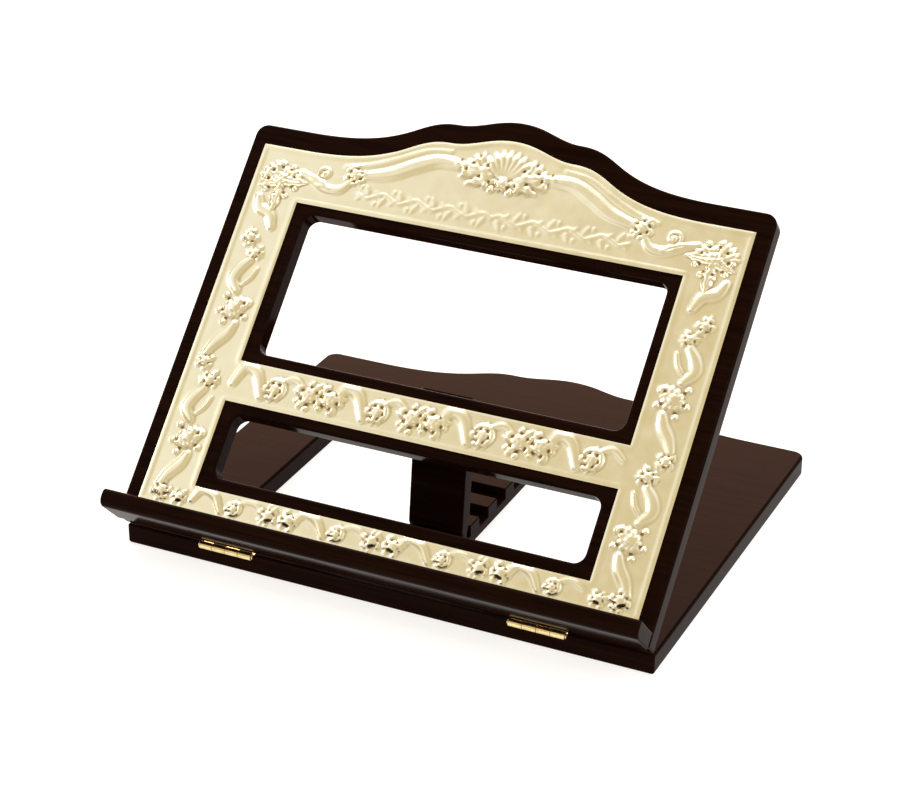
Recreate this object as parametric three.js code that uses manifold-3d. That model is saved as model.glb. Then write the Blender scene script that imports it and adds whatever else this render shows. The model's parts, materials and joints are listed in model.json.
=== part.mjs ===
// Folding tabletop stand for a prayer book or bible, in millimetres.
// The panel opens on two butt hinges along the front edge of the base, and a
// prop leg hinged behind the panel drops into one of the notches of a rail.
// X runs along the front edge, Y from front to back, Z up, and the origin is
// at the middle of the underside of the whole stand.

import * as THREE from 'three';
import * as BufferGeometryUtils from 'three/addons/utils/BufferGeometryUtils.js';
import Module from 'manifold-3d';

const wasm = await Module();
wasm.setup();

// ---------------------------------------------------------------- dimensions

const GAP = 0.3; // between pieces that touch on the real stand
const OVERCUT = 1; // how far a cutting tool runs past the face it opens

const board = {
  halfWidth: 200,
  sideLength: 308.8, // front edge to back corner
  crestLength: 343.3, // front edge to the top of the arched edge
  thickness: 15.4,
  cornerRadius: 9,
  frontCornerRadius: 2,
};
const shoulder = { x: 47, length: 334.1 }; // beside the crest
const ogee = { x: 78, length: 324.6 }; // steepest point below the shoulder
const archFoot = 155; // where the arch runs into the straight edge
const archHandles = { // of its curves, from the foot to the crest
  foot: 118,
  ogeeLow: { x: 97, below: 10.7 },
  ogeeHigh: { x: 66, above: 6.8 },
  shoulderOuter: 59,
  shoulderInner: 30,
  crest: 20,
};

const panelTilt = 45; // degrees, as it stands
const upperWindow = { halfWidth: 139.5, low: 137.5, high: 246.5, radius: 8 };
const lowerWindow = { halfWidth: 140, low: 43.2, high: 90.7, radius: 8 };
const baseOpening = { halfWidth: 140, low: 43.5, high: 246.5, radius: 8 };

const plaque = {
  thickness: 1,
  halfWidth: 188.5,
  low: 14.3,
  sideHigh: 292.8,
  upper: { halfWidth: 148, low: 129, high: 252.8 },
  lower: { halfWidth: 149, low: 33.5, high: 98.2 },
};

const ledge = { low: -1.5, high: 10.8, depth: 31.3, topRadius: 3, noseRadius: 6.5 };
const ledgeDowel = { radius: 3, length: 22, inPanel: 9.6, height: 4.6, places: [-170, -60, 60, 170] };

const rail = { halfWidth: 21, notchLow: 86.4, notchWidth: 15, notchPitch: 30, notches: 5, notchDepth: 8 };
const railDowel = { radius: 3, length: 24, x: 10 };

const frontHinge = {
  places: [-118, 118],
  length: 41,
  barrelRadius: 2.65,
  leafWidth: 14.6,
  knuckles: 4,
  screwSpread: 24,
  screwLine: 9.6, // from the pin
};
const hingeLine = { y: -2.6, z: board.thickness }; // pin of the front hinges

const propHinge = {
  length: 38,
  barrelRadius: 2.4,
  leafWidth: 12.2,
  knuckles: 4,
  screwSpread: 22,
  screwLine: 7.6,
};
const propPin = { length: 138, depth: -0.8 }; // pin line, in the panel's own frame
const leg = {
  halfWidth: 21,
  thickness: 12.5,
  start: 0.5, // from the pin to the leg's upper end
  faceClearance: 0.2, // behind the panel's back when folded into the window
  end: 106.1, // pin to the tip of the foot
  lean: 6.7, // degrees from plumb, top backwards
  frontChamfer: { along: 8.2, across: 4.9 },
  backBevel: { along: 18, across: 3.9 },
};

const leafThickness = 1.2;
const leafPlay = 0.1; // half of the gap between two closed leaves
const pin = { radius: 1.2, headRadius: 1.9, headLength: 0.8, overhang: 1.2 };
const boreRadius = 1.55;
const tongueOverlap = 0.5; // of a knuckle's tongue with its leaf
const seatOpening = 3; // how far a hinge seat is cut open on the pin's other side
const screw = {
  headRadius: 2.3,
  headDepth: 1.3,
  rim: 0.2,
  sunk: 0.1, // below the face of its leaf
  shankRadius: 1,
  length: 9,
  tip: 2,
  slotWidth: 0.5,
  slotDepth: 0.5,
};

const radians = THREE.MathUtils.degToRad;

// ----------------------------------------------------------------- materials

const darkWood = new THREE.MeshStandardMaterial({ color: 0x2a1310, roughness: 0.15, metalness: 0 });
const plainWood = new THREE.MeshStandardMaterial({ color: 0xc9a878, roughness: 0.7, metalness: 0 });
const goldPlate = new THREE.MeshStandardMaterial({ color: 0xe2cf9a, roughness: 0.25, metalness: 1 });
const brass = new THREE.MeshStandardMaterial({ color: 0xd9b866, roughness: 0.25, metalness: 1 });
const bronze = new THREE.MeshStandardMaterial({ color: 0x3a2a1e, roughness: 0.35, metalness: 1 });
const steel = new THREE.MeshStandardMaterial({ color: 0xb9b29a, roughness: 0.3, metalness: 1 });

// ------------------------------------------------------------ solid geometry

function toSolid(geometry) {
  const bare = geometry.clone();
  bare.deleteAttribute('normal');
  bare.deleteAttribute('uv');
  const merged = BufferGeometryUtils.mergeVertices(bare, 1e-4);
  return new wasm.Manifold(
    new wasm.Mesh({
      numProp: 3,
      vertProperties: new Float32Array(merged.attributes.position.array),
      triVerts: new Uint32Array(merged.index.array),
    }),
  );
}

function toGeometry(solid) {
  const mesh = solid.getMesh();
  const geometry = new THREE.BufferGeometry();
  geometry.setAttribute('position', new THREE.BufferAttribute(mesh.vertProperties, 3));
  geometry.setIndex(new THREE.BufferAttribute(mesh.triVerts, 1));
  geometry.computeVertexNormals();
  return geometry;
}

function cut(body, tools) {
  return toGeometry(tools.reduce((rest, tool) => rest.subtract(toSolid(tool)), toSolid(body)));
}

function join(pieces) {
  return toGeometry(pieces.map(toSolid).reduce((all, piece) => all.add(piece)));
}

// A box from its lowest to its highest corner.
function block(low, high) {
  const size = high.map((value, axis) => value - low[axis]);
  const geometry = new THREE.BoxGeometry(...size);
  return geometry.translate(...low.map((value, axis) => value + size[axis] / 2));
}

// A round bar from one point to another along the named axis.
function bar(axis, radius, from, length, segments = 16) {
  const geometry = new THREE.CylinderGeometry(radius, radius, length, segments);
  geometry.translate(0, length / 2, 0);
  if (axis === 'x') geometry.rotateZ(-Math.PI / 2);
  if (axis === 'z') geometry.rotateX(Math.PI / 2);
  return geometry.translate(...from);
}

// A flat outline in Y and Z, drawn out along X from one end to the other.
function alongX(outline, from, to) {
  const geometry = new THREE.ExtrudeGeometry(outline, {
    depth: to - from,
    bevelEnabled: false,
    curveSegments: 6,
  });
  // the outline's own x and y become Y and Z
  geometry.applyMatrix4(new THREE.Matrix4().makeBasis(
    new THREE.Vector3(0, 1, 0),
    new THREE.Vector3(0, 0, 1),
    new THREE.Vector3(1, 0, 0),
  ));
  return geometry.translate(from, 0, 0);
}

// ------------------------------------------------------------------ outlines

// The arched edge shared by the base, the panel and the plaque: a crest, two
// shoulders and a long ogee down to each side. inset is how far the plaque's
// arch lies below the board's.
function traceArch(shape, inset) {
  const sideStart = board.sideLength - inset;
  const top = board.crestLength - inset;
  const shoulderTop = shoulder.length - inset;
  const ogeeMid = ogee.length - inset;
  const { foot, ogeeLow, ogeeHigh, shoulderOuter, shoulderInner, crest } = archHandles;
  const low = ogeeMid - ogeeLow.below;
  const high = ogeeMid + ogeeHigh.above;
  shape.bezierCurveTo(foot, sideStart, ogeeLow.x, low, ogee.x, ogeeMid);
  shape.bezierCurveTo(ogeeHigh.x, high, shoulderOuter, shoulderTop, shoulder.x, shoulderTop);
  shape.bezierCurveTo(shoulderInner, shoulderTop, crest, top, 0, top);
  shape.bezierCurveTo(-crest, top, -shoulderInner, shoulderTop, -shoulder.x, shoulderTop);
  shape.bezierCurveTo(-shoulderOuter, shoulderTop, -ogeeHigh.x, high, -ogee.x, ogeeMid);
  shape.bezierCurveTo(-ogeeLow.x, low, -foot, sideStart, -archFoot, sideStart);
}

function boardOutline() {
  const { halfWidth: w, sideLength: side, cornerRadius: r, frontCornerRadius: front } = board;
  const shape = new THREE.Shape();
  shape.moveTo(-w + front, 0);
  shape.lineTo(w - front, 0);
  shape.absarc(w - front, front, front, -Math.PI / 2, 0);
  shape.lineTo(w, side - r);
  shape.absarc(w - r, side - r, r, 0, Math.PI / 2);
  shape.lineTo(archFoot, side);
  traceArch(shape, 0);
  shape.lineTo(-w + r, side);
  shape.absarc(-w + r, side - r, r, Math.PI / 2, Math.PI);
  shape.lineTo(-w, front);
  shape.absarc(-w + front, front, front, Math.PI, Math.PI * 1.5);
  return shape;
}

function plaqueOutline() {
  const { halfWidth: w, low, sideHigh } = plaque;
  const shape = new THREE.Shape();
  shape.moveTo(-w, low);
  shape.lineTo(w, low);
  shape.lineTo(w, sideHigh);
  shape.lineTo(archFoot, sideHigh);
  traceArch(shape, board.sideLength - sideHigh);
  shape.lineTo(-w, sideHigh);
  return shape;
}

function windowHole({ halfWidth: w, low, high, radius: r = 0 }) {
  const hole = new THREE.Path();
  if (r === 0) {
    hole.moveTo(-w, low);
    hole.lineTo(-w, high);
    hole.lineTo(w, high);
    hole.lineTo(w, low);
    return hole;
  }
  hole.moveTo(-w, low + r);
  hole.lineTo(-w, high - r);
  hole.absarc(-w + r, high - r, r, Math.PI, Math.PI / 2, true);
  hole.absarc(w - r, high - r, r, Math.PI / 2, 0, true);
  hole.absarc(w - r, low + r, r, 0, -Math.PI / 2, true);
  hole.absarc(-w + r, low + r, r, -Math.PI / 2, -Math.PI, true);
  return hole;
}

function flatBoard(outline, holes, thickness) {
  outline.holes = holes.map(windowHole);
  return new THREE.ExtrudeGeometry(outline, {
    depth: thickness,
    bevelEnabled: false,
    curveSegments: 10,
  });
}

// -------------------------------------------------------------- butt hinges

// Everything of a hinge is drawn closed, around its own pin on the X axis:
// the lower leaf lies just below the plane Z = 0 and the upper leaf just
// above it, both running towards +Y.

function knuckleSpan(hinge, index) {
  const pitch = hinge.length / hinge.knuckles;
  const start = -hinge.length / 2 + index * pitch;
  return [start + GAP / 2, start + pitch - GAP / 2];
}

function screwPlaces(hinge) {
  return [-0.5, 0.5].map((side) => side * hinge.screwSpread);
}

function hingeLeaf(hinge, side) {
  const start = hinge.barrelRadius + GAP;
  const half = hinge.length / 2;
  const [zLow, zHigh] = side < 0
    ? [-leafPlay - leafThickness, -leafPlay]
    : [leafPlay, leafPlay + leafThickness];
  const pieces = [block([-half, start, zLow], [half, hinge.leafWidth, zHigh])];
  for (let index = side < 0 ? 0 : 1; index < hinge.knuckles; index += 2) {
    const [from, to] = knuckleSpan(hinge, index);
    pieces.push(bar('x', hinge.barrelRadius, [from, 0, 0], to - from));
    pieces.push(block([from, 0, zLow], [to, start + tongueOverlap, zHigh]));
  }
  const holes = [bar('x', boreRadius, [-half - OVERCUT, 0, 0], hinge.length + 2 * OVERCUT)];
  for (const x of screwPlaces(hinge)) {
    const hole = bar('z', screw.headRadius + GAP, [x, hinge.screwLine, -seatOpening], 2 * seatOpening, 20);
    holes.push(hole);
  }
  return cut(join(pieces), holes);
}

function hingePin(hinge) {
  const { radius, headRadius, headLength, overhang } = pin;
  const edge = 0.3;
  const half = hinge.length / 2 + overhang;
  const profile = [
    [0, -half],
    [radius - edge, -half],
    [radius, -half + edge],
    [radius, half - headLength],
    [headRadius, half - headLength],
    [headRadius, half - edge],
    [headRadius - edge, half],
    [0, half],
  ];
  const points = profile.map(([radius, along]) => new THREE.Vector2(radius, along));
  return new THREE.LatheGeometry(points, 16).rotateZ(-Math.PI / 2);
}

// A countersunk wood screw whose head faces +Z at the origin.
function countersunkScrew() {
  const { headRadius, headDepth, rim, shankRadius, length, tip, slotWidth, slotDepth } = screw;
  const profile = [
    [0, -length],
    [shankRadius, -length + tip],
    [shankRadius, -headDepth],
    [headRadius, -rim],
    [headRadius, 0],
    [0, 0],
  ];
  const points = profile.map(([radius, height]) => new THREE.Vector2(radius, height));
  const driver = block(
    [-headRadius, -slotWidth / 2, -slotDepth],
    [headRadius, slotWidth / 2, OVERCUT],
  );
  return cut(new THREE.LatheGeometry(points, 16).rotateX(Math.PI / 2), [driver]);
}

// What a hinge leaf and its screws need cut out of the wood behind it.
function hingeSeat(hinge, side) {
  const half = hinge.length / 2 + GAP;
  const floor = leafPlay + leafThickness + GAP;
  const reach = hinge.leafWidth + GAP;
  const [zLow, zHigh] = side < 0 ? [-floor, seatOpening] : [-seatOpening, floor];
  const pinEnd = half + pin.overhang;
  const tools = [
    bar('x', hinge.barrelRadius + GAP, [-half, 0, 0], half * 2, 24),
    bar('x', pin.headRadius + GAP, [-pinEnd, 0, 0], pinEnd * 2, 20),
    block([-half, 0, zLow], [half, reach, zHigh]),
  ];
  const depth = screw.length + 2 * GAP;
  for (const x of screwPlaces(hinge)) {
    const from = side < 0 ? -depth : 0;
    tools.push(bar('z', screw.shankRadius + GAP, [x, hinge.screwLine, from], depth, 12));
  }
  return tools;
}

// Puts one leaf and its two screws into a group that already lies on the pin.
function addLeaf(group, name, hinge, side, wing, metal) {
  addMesh(group, `${name}_${wing}_leaf`, hingeLeaf(hinge, side), metal);
  screwPlaces(hinge).forEach((x, index) => {
    const geometry = countersunkScrew();
    if (side > 0) geometry.rotateX(Math.PI);
    geometry.translate(x, hinge.screwLine, side * (leafPlay + screw.sunk));
    addMesh(group, `${name}_${wing}_screw_${index + 1}`, geometry, metal);
  });
}

// --------------------------------------------------------------------- parts

function addMesh(group, name, geometry, material) {
  const mesh = new THREE.Mesh(geometry, material.clone());
  mesh.name = name;
  group.add(mesh);
  return mesh;
}

function moved(tools, place) {
  return tools.map((tool) => tool.clone().applyMatrix4(place));
}

function frontHingeSeats(side, centre) {
  return frontHinge.places.flatMap((x) => {
    const place = new THREE.Matrix4().makeTranslation(x, centre.y, centre.z);
    return moved(hingeSeat(frontHinge, side), place);
  });
}

function railDowels(radius, extra) {
  const reach = railDowel.length / 2 + extra;
  return [baseOpening.low, baseOpening.high].flatMap((y) =>
    [-railDowel.x, railDowel.x].map((x) =>
      bar('y', radius, [x, y - reach, board.thickness / 2], reach * 2, 16)));
}

function ledgeDowels(radius, extra) {
  const from = board.thickness - ledgeDowel.inPanel - extra;
  const length = ledgeDowel.length + 2 * extra;
  return ledgeDowel.places.map((x) => bar('z', radius, [x, ledgeDowel.height, from], length, 16));
}

function baseBoard() {
  const body = flatBoard(boardOutline(), [baseOpening], board.thickness);
  return cut(body, [
    ...frontHingeSeats(-1, hingeLine),
    ...railDowels(railDowel.radius + GAP, GAP),
  ]);
}

function notchedRail() {
  const { halfWidth, notchLow, notchWidth, notchPitch, notches, notchDepth } = rail;
  const body = block(
    [-halfWidth, baseOpening.low + GAP, 0],
    [halfWidth, baseOpening.high - GAP, board.thickness],
  );
  const notchTools = Array.from({ length: notches }, (_, index) => {
    const y = notchLow + index * notchPitch;
    return block(
      [-halfWidth - OVERCUT, y, board.thickness - notchDepth],
      [halfWidth + OVERCUT, y + notchWidth, board.thickness + OVERCUT],
    );
  });
  return cut(body, [...notchTools, ...railDowels(railDowel.radius + GAP, GAP)]);
}

// The prop hinge lies across the thickness of the panel, so its drawing is
// turned a quarter turn: the upper leaf is the one on the panel.
const propHingeTurn = new THREE.Matrix4().makeRotationX(Math.PI / 2);

function panelBoard() {
  const body = flatBoard(boardOutline(), [upperWindow, lowerWindow], board.thickness);
  const propPlace = new THREE.Matrix4()
    .makeTranslation(0, propPin.length, propPin.depth)
    .multiply(propHingeTurn);
  return cut(body, [
    ...frontHingeSeats(1, { y: hingeLine.y, z: 0 }),
    ...moved(hingeSeat(propHinge, 1), propPlace),
    ...ledgeDowels(ledgeDowel.radius + GAP, GAP),
  ]);
}

function bookLedge() {
  const { low, high, depth, topRadius, noseRadius } = ledge;
  const back = board.thickness + GAP;
  const front = back + depth;
  const profile = new THREE.Shape();
  profile.moveTo(low, back);
  profile.lineTo(high, back);
  profile.lineTo(high, front - topRadius);
  profile.absarc(high - topRadius, front - topRadius, topRadius, 0, Math.PI / 2);
  profile.absarc(low + noseRadius, front - noseRadius, noseRadius, Math.PI / 2, Math.PI);
  const body = alongX(profile, -board.halfWidth, board.halfWidth);
  return cut(body, ledgeDowels(ledgeDowel.radius + GAP, GAP));
}

function goldPlaque() {
  const sheet = flatBoard(plaqueOutline(), [plaque.upper, plaque.lower], plaque.thickness);
  return sheet.translate(0, 0, board.thickness + GAP);
}

// The leg in its hinge's frame, lying as it does when folded into the panel's
// upper window: +Y towards the foot, +Z through its thickness.
function propLeg() {
  const { halfWidth, thickness, start, end, faceClearance, frontChamfer, backBevel } = leg;
  const face = -propPin.depth + faceClearance;
  const back = face + thickness;
  const profile = new THREE.Shape();
  profile.moveTo(start, face);
  profile.lineTo(end - frontChamfer.along, face);
  profile.lineTo(end, face + frontChamfer.across);
  profile.lineTo(end, back - backBevel.across);
  profile.lineTo(end - backBevel.along, back);
  profile.lineTo(start, back);
  return cut(
    alongX(profile, -halfWidth, halfWidth),
    moved(hingeSeat(propHinge, -1), propHingeTurn),
  );
}

// ------------------------------------------------------------------ assembly

const stand = new THREE.Group();
const build = new THREE.Group(); // its own Y starts at the front of the base
stand.add(build);

addMesh(build, 'base_board', baseBoard(), darkWood);
addMesh(build, 'notched_rail', notchedRail(), darkWood);
railDowels(railDowel.radius, 0).forEach((geometry, index) => {
  addMesh(build, `rail_dowel_${index + 1}`, geometry, plainWood);
});

// The panel's frame is the board's own, closed on the base, turned about the
// front hinges.
const panelTurn = new THREE.Group();
panelTurn.position.set(0, hingeLine.y, hingeLine.z);
panelTurn.rotation.x = radians(panelTilt);
build.add(panelTurn);
const panel = new THREE.Group();
panel.position.y = -hingeLine.y;
panelTurn.add(panel);

addMesh(panel, 'panel_board', panelBoard(), darkWood);
addMesh(panel, 'book_ledge', bookLedge(), darkWood);
addMesh(panel, 'plaque', goldPlaque(), goldPlate);
ledgeDowels(ledgeDowel.radius, 0).forEach((geometry, index) => {
  addMesh(panel, `ledge_dowel_${index + 1}`, geometry, plainWood);
});

frontHinge.places.forEach((x, index) => {
  const name = `front_hinge_${index === 0 ? 'left' : 'right'}`;
  const onBase = new THREE.Group();
  onBase.position.set(x, hingeLine.y, hingeLine.z);
  build.add(onBase);
  addLeaf(onBase, name, frontHinge, -1, 'base', brass);
  addMesh(onBase, `${name}_pin`, hingePin(frontHinge), steel);
  const onPanel = new THREE.Group();
  onPanel.position.x = x;
  panelTurn.add(onPanel);
  addLeaf(onPanel, name, frontHinge, 1, 'panel', brass);
});

const propAxis = new THREE.Group();
propAxis.position.set(0, propPin.length, propPin.depth);
panel.add(propAxis);
const propHingeOnPanel = new THREE.Group();
propHingeOnPanel.applyMatrix4(propHingeTurn);
propAxis.add(propHingeOnPanel);
addLeaf(propHingeOnPanel, 'prop_hinge', propHinge, 1, 'panel', bronze);
addMesh(propHingeOnPanel, 'prop_hinge_pin', hingePin(propHinge), bronze);

const prop = new THREE.Group();
prop.rotation.x = -radians(panelTilt + 90 + leg.lean);
propAxis.add(prop);
addMesh(prop, 'prop_leg', propLeg(), darkWood);
const propHingeOnLeg = new THREE.Group();
propHingeOnLeg.applyMatrix4(propHingeTurn);
prop.add(propHingeOnLeg);
addLeaf(propHingeOnLeg, 'prop_hinge', propHinge, -1, 'leg', bronze);

// The origin goes to the middle of the stand, front to back.
const extent = new THREE.Box3().setFromObject(build, true);
build.position.y = -(extent.min.y + extent.max.y) / 2;

export default stand;
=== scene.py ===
import itertools
import json
import math

import bmesh
import bpy
import numpy as np
from mathutils import Matrix, Vector
from mathutils.geometry import tessellate_polygon


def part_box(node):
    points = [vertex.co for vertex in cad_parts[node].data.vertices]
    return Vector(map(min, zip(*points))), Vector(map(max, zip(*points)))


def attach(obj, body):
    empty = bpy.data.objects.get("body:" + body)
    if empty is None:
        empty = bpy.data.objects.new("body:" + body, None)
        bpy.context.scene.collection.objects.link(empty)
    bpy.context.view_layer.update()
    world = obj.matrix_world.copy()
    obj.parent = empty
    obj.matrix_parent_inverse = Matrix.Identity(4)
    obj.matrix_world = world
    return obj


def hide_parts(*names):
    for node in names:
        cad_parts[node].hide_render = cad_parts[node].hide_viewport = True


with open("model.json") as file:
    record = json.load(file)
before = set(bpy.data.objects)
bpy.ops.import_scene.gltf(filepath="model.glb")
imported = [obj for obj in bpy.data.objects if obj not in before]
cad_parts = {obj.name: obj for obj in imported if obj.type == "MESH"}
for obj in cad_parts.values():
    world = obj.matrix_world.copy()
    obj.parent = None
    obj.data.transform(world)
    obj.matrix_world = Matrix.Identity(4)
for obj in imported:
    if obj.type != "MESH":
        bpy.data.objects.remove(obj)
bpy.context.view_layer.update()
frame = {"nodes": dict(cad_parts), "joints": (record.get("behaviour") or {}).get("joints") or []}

# ---------------------------------------------------------------- dimensions, in millimetres

MM = 0.001
TOUCH = 0.05  # left between pieces that touch
GAP = 0.3  # left round a piece that sits in a recess

BOARD_HALF = 200
BOARD_SIDE = 308.8  # front edge to back corner
BOARD_CREST = 343.3  # front edge to the top of the arch
BOARD_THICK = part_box("base_board")[1].z / MM
FRONT_CORNER = 2
BACK_CORNER = 9
BOARD_EDGE = 2.2  # rounding of every lacquered edge of the boards
SHOULDER = (47, 334.1)  # beside the crest
OGEE = (78, 324.6)  # steepest point below the shoulder
ARCH_FOOT = 155  # where the arch runs into the straight edge

UPPER_WINDOW = dict(half=139.5, low=137.5, high=246.5)
LOWER_WINDOW = dict(half=140, low=43.2, high=90.7)
BASE_OPENING = dict(half=140, low=43.5, high=246.5)
WINDOW_CORNER = 8

PLAQUE_HALF = 188.5
PLAQUE_LOW = 14.3
PLAQUE_INSET = 16  # of its arch below the board's
PLAQUE_SHEET = 1.25
EMBOSS = 0.72  # of each motif's drawn height, once pressed into the sheet
PAINTED_SHADE_DEPTH = 0.55  # below its surroundings, where the plating is painted brown as shade
PAINTED_SHADE_START = 0.15  # share of that depth at which the painted shade begins
RIM_HEIGHT, RIM_MIDDLE, RIM_HALF = 0.3, 1.9, 1.8  # of the low bead round every edge of the sheet
PLAQUE_PITCH = 0.86  # of the grid that the relief is shaped on
PLAQUE_UPPER = dict(half=148, low=129, high=252.8)
PLAQUE_LOWER = dict(half=149, low=33.5, high=98.2)

LEDGE = dict(low=-1.5, high=10.8, front=47, top_radius=3, nose_radius=6.5)
RAIL = dict(half=21, first=86.4, width=15, pitch=30, count=5, depth=8)
LEG = dict(half=21, start=0.5, face=1.0, thick=12.5, end=106.1, lean=6.7)
LEG_CHAMFER = (8.2, 4.9)  # along the leg and across it, at the front of the foot
LEG_BEVEL = (18, 3.9)  # the same, at the back of the foot

PANEL_TILT = 45  # degrees
PIN_AHEAD = 2.6  # the front hinges' pins stand this far in front of the boards
PROP_PIN = (138, -0.8)  # along the panel and through it
FRONT_HINGE = dict(length=41, barrel=2.65, width=14.6, knuckles=4, spread=24, screw_line=9.6)
PROP_HINGE = dict(length=38, barrel=2.4, width=12.2, knuckles=4, spread=22, screw_line=7.6)
FRONT_HINGE_X = {"left": -118, "right": 118}
LEAF_THICK = 1.2
LEAF_PLAY = 0.1
BORE = 1.4
PIN = dict(radius=1.2, head=1.9, head_length=0.8, overhang=1.2)
SCREW = dict(head=2.3, depth=1.3, shank=1.0, length=9)


def joint_place(name):
    """A joint's point on its axis, in metres."""
    return Vector(next(j["pos_m"] for j in frame["joints"] if j["name"] == name))


def turn_x(degrees):
    return Matrix.Rotation(math.radians(degrees), 4, "X")


def shift(x, y, z):
    """A move in millimetres."""
    return Matrix.Translation((x, y, z))


FRONT_PIN = joint_place("panel_tilt")
TO_METRES = Matrix.Scale(MM, 4)
HINGE_ON_BASE = Matrix.Translation(FRONT_PIN) @ TO_METRES
HINGE_ON_PANEL = HINGE_ON_BASE @ turn_x(PANEL_TILT)
BASE = HINGE_ON_BASE @ shift(0, PIN_AHEAD, -BOARD_THICK)
PANEL = HINGE_ON_PANEL @ shift(0, PIN_AHEAD, 0)
PROP_AXIS = PANEL @ shift(0, *PROP_PIN)
PROP_HINGE_ON_PANEL = PROP_AXIS @ turn_x(90)
PROP = PROP_AXIS @ turn_x(-(PANEL_TILT + 90 + LEG["lean"]))
PROP_HINGE_ON_LEG = PROP @ turn_x(90)
ALONG_X = Matrix(((0, 0, 1, 0), (1, 0, 0, 0), (0, 1, 0, 0), (0, 0, 0, 1)))  # z to X, x to Y, y to Z


# ------------------------------------------------------------------------------- outlines


def arc(centre, radius, start, end, steps):
    """Points on an arc, from one angle in degrees to another."""
    angles = np.radians(np.linspace(start, end, steps + 1))
    return np.array(centre) + radius * np.stack([np.cos(angles), np.sin(angles)], 1)


def bezier(p0, p1, p2, p3, steps):
    """Points on a cubic curve, without its last one."""
    t = np.linspace(0, 1, steps, endpoint=False)[:, None]
    p0, p1, p2, p3 = (np.array(p, float) for p in (p0, p1, p2, p3))
    return (1 - t) ** 3 * p0 + 3 * t * (1 - t) ** 2 * p1 + 3 * t * t * (1 - t) * p2 + t ** 3 * p3


def half_arch(inset, steps=16):
    """The right half of the arched edge, from its foot to the crest."""
    side = BOARD_SIDE - inset
    top = BOARD_CREST - inset
    shoulder = (SHOULDER[0], SHOULDER[1] - inset)
    ogee = (OGEE[0], OGEE[1] - inset)
    foot_pull = (118, side)
    ogee_low_pull = (97, ogee[1] - 10.7)
    ogee_high_pull = (66, ogee[1] + 6.8)
    shoulder_pull = (59, shoulder[1])
    return np.concatenate([
        bezier((ARCH_FOOT, side), foot_pull, ogee_low_pull, ogee, steps),
        bezier(ogee, ogee_high_pull, shoulder_pull, shoulder, steps),
        bezier(shoulder, (30, shoulder[1]), (20, top), (0, top), steps),
        [(0, top)],
    ])


def mirrored(right_half):
    """A path that ends on x = 0, carried on to the left side."""
    return np.concatenate([right_half, right_half[-2::-1] * (-1, 1)])


def board_outline():
    w, front, back = BOARD_HALF, FRONT_CORNER, BACK_CORNER
    right = np.concatenate([
        arc((w - front, front), front, -90, 0, 4),
        arc((w - back, BOARD_SIDE - back), back, 0, 90, 8),
        half_arch(0),
    ])
    return mirrored(right)


def window_loop(window, radius=WINDOW_CORNER):
    """A window with round corners, clockwise as holes are."""
    right, low, high = window["half"] - radius, window["low"] + radius, window["high"] - radius
    return np.concatenate([
        arc((-right, high), radius, 180, 90, 8),
        arc((right, high), radius, 90, 0, 8),
        arc((right, low), radius, 0, -90, 8),
        arc((-right, low), radius, -90, -180, 8),
    ])


def circle_loop(centre, radius, steps=32):
    """A round hole, clockwise."""
    return arc(centre, radius, 360, 0, steps)[:-1]


def rounded(points, radius, steps=5):
    """A closed outline with each corner rounded; radius is one number, or one for each corner."""
    points = np.array(points, float)
    radii = np.broadcast_to(radius, len(points))
    path = []
    for index, (corner, r) in enumerate(zip(points, radii)):
        before = points[index - 1] - corner
        after = points[(index + 1) % len(points)] - corner
        before /= np.linalg.norm(before)
        after /= np.linalg.norm(after)
        half = math.acos(np.clip(before @ after, -1, 1)) / 2
        middle = (before + after) / np.linalg.norm(before + after)
        centre = corner + middle * r / math.sin(half)
        start = corner + before * r / math.tan(half) - centre
        end = corner + after * r / math.tan(half) - centre
        from_angle = math.degrees(math.atan2(start[1], start[0]))
        sweep = math.degrees(math.atan2(end[1], end[0])) - from_angle
        sweep = (sweep + 180) % 360 - 180
        path.append(arc(centre, r, from_angle, from_angle + sweep, steps))
    return np.concatenate(path)


# ----------------------------------------------------------------------------- mesh pieces


def mesh_from(points, faces):
    mesh = bpy.data.meshes.new("shape")
    mesh.from_pydata([tuple(p) for p in points], [], [tuple(f) for f in faces])
    built = bmesh.new()
    built.from_mesh(mesh)
    bmesh.ops.remove_doubles(built, verts=built.verts, dist=1e-5)
    bmesh.ops.recalc_face_normals(built, faces=built.faces)
    built.to_mesh(mesh)
    built.free()
    return mesh


def outward(loop):
    """At each point of a loop, the way out of the material, long enough to keep corners true."""
    edges = np.roll(loop, -1, 0) - loop
    normals = np.stack([edges[:, 1], -edges[:, 0]], 1) / np.linalg.norm(edges, axis=1)[:, None]
    before = np.roll(normals, 1, 0)
    return (normals + before) / (1 + (normals * before).sum(1))[:, None]


def slab(outer, holes, low, high, radius, steps=5):
    """A flat piece from low to high with all its edges rounded. Holes run clockwise."""
    turns = np.radians(np.linspace(0, 90, steps + 1))
    lower = [(radius * (1 - math.sin(a)), low + radius * (1 - math.cos(a))) for a in turns]
    rings = lower + [(inset, low + high - z) for inset, z in reversed(lower)]
    points, faces, caps = [], [], ([], [])
    for loop in [outer, *holes]:
        loop = np.array(loop, float)
        out = outward(loop)
        count = len(loop)
        start = len(points)
        for inset, z in rings:
            ring = loop - out * inset
            points.extend(Vector((x, y, z)) for x, y in ring)
        for level in range(len(rings) - 1):
            near = start + level * count
            for i in range(count):
                j = (i + 1) % count
                faces.append((near + i, near + j, near + count + j, near + count + i))
        caps[0].append(range(start, start + count))
        caps[1].append(range(start + (len(rings) - 1) * count, start + len(rings) * count))
    for loops in caps:
        order = [index for loop in loops for index in loop]
        flat = tessellate_polygon([[points[index] for index in loop] for loop in loops])
        faces.extend(tuple(order[corner] for corner in face) for face in flat)
    return mesh_from(points, faces)


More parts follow.
